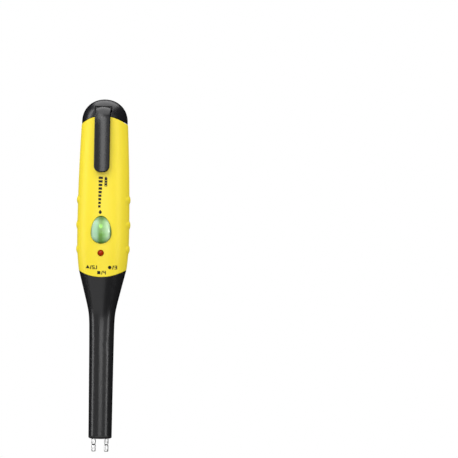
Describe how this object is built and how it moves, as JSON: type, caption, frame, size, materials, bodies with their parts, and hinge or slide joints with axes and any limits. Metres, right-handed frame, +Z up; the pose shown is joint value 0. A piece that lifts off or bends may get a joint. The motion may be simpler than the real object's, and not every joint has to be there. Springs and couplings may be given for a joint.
{
  "type": "two-pin pen tester",
  "caption": "Pen-shaped fluid tester: oval handle with pull-off clip cap, egg-shaped push button and mode light, and a flared probe ending in two bare pins.",
  "frame": {"origin": "centre of the probe's end face, where the two pins come out", "axes": "+Z up the pen from the probe to the cap, -Y out of the front with the button, light and clip, +X to the right as seen from the front"},
  "size_m": [0.027, 0.0247, 0.1759],
  "materials": {
    "yellow_housing": "satin moulded ABS",
    "black_probe": "fine matt moulded nylon",
    "black_cap": "fine matt moulded ABS",
    "translucent_green": "translucent soft-touch plastic",
    "plated_metal": "bright nickel plate",
    "spring_metal": "drawn spring steel",
    "contact_brass": "pressed brass",
    "board": "solder-masked glass epoxy",
    "chip_black": "moulded epoxy",
    "chip_tan": "ceramic",
    "ferrite": "ferrite",
    "red_lens": "diffused epoxy",
    "green_lens": "diffused epoxy",
    "lead_red": "PVC insulation",
    "lead_black": "PVC insulation",
    "cradle_grey": "moulded ABS",
    "cell_jacket": "printed shrink sleeve"
  },
  "bodies": {
    "handle": {"front_shell": "yellow_housing", "back_shell": "yellow_housing", "probe_shaft": "black_probe", "probe_insert": "black_probe", "electrode_left": "plated_metal", "electrode_right": "plated_metal", "electrode_lead_left": "lead_black", "electrode_lead_right": "lead_red", "circuit_board": "board", "board_screws": "spring_metal", "mode_led_lens": "red_lens", "mode_led_leads": "plated_metal", "status_led_lens": "green_lens", "status_led_leads": "plated_metal", "switch_body": "chip_black", "microcontroller": "chip_black", "chip_resistors": "chip_black", "chip_capacitors": "chip_tan", "boost_inductor": "ferrite", "cell_cradle": "cradle_grey", "positive_contact": "contact_brass", "return_strip": "contact_brass"},
    "cap": {"rear_cap": "black_cap", "cap_contact": "contact_brass", "cell_spring": "spring_metal"},
    "clip": {"pocket_clip": "black_cap"},
    "cell": {"cell_can": "cell_jacket", "cell_nub": "plated_metal"},
    "button": {"push_button": "translucent_green", "switch_plunger": "cradle_grey"}
  },
  "joints": [
    {"name": "cap_pull", "type": "slide", "parent": "handle", "child": "cap", "axis": [0, 0, 1], "range_m": [0, 0.1]},
    {"name": "clip_flex", "type": "hinge", "parent": "cap", "child": "clip", "pos_m": [0, -0.0059, 0.1641], "axis": [-1, 0, 0], "range_deg": [0, 5], "stiffness_Nm_per_rad": 1.35},
    {"name": "cell_slide", "type": "slide", "parent": "handle", "child": "cell", "axis": [0, 0, 1], "range_m": [0, 0.05]},
    {"name": "button_press", "type": "slide", "parent": "handle", "child": "button", "axis": [0, 1, 0], "range_m": [0, 0.0005], "stiffness_N_per_m": 3000, "springref_m": -0.0002}
  ],
  "couplings": [
    {"joint": "cell_slide", "follows": "cap_pull", "ratio": 0.5}
  ]
}
